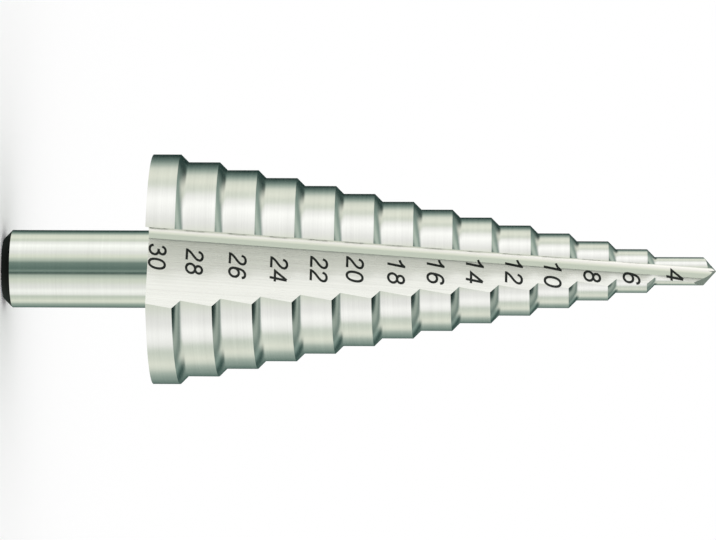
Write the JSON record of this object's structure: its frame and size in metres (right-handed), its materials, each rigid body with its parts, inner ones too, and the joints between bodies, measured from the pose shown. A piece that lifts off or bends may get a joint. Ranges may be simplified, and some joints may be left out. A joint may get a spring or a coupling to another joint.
{
  "type": "step drill",
  "caption": "Conical stepped cutter with two straight flutes, relieved lands, a 118 degree point and a plain round shank, for drilling sheet metal.",
  "frame": {"origin": "centre of the shank's end face, which the drill stands on", "axes": "+Z along the turning axis from the shank to the point; one flute opens towards -Y and the other towards +Y; the flute towards -Y has its cutting face on the -X side"},
  "size_m": [0.0296, 0.0282, 0.0918],
  "materials": {
    "ground_steel": "bright ground",
    "black_end": "black heat-treated skin",
    "mark_ink": "black laser marking"
  },
  "bodies": {
    "root": {"step_drill": "ground_steel"}
  },
  "joints": []
}
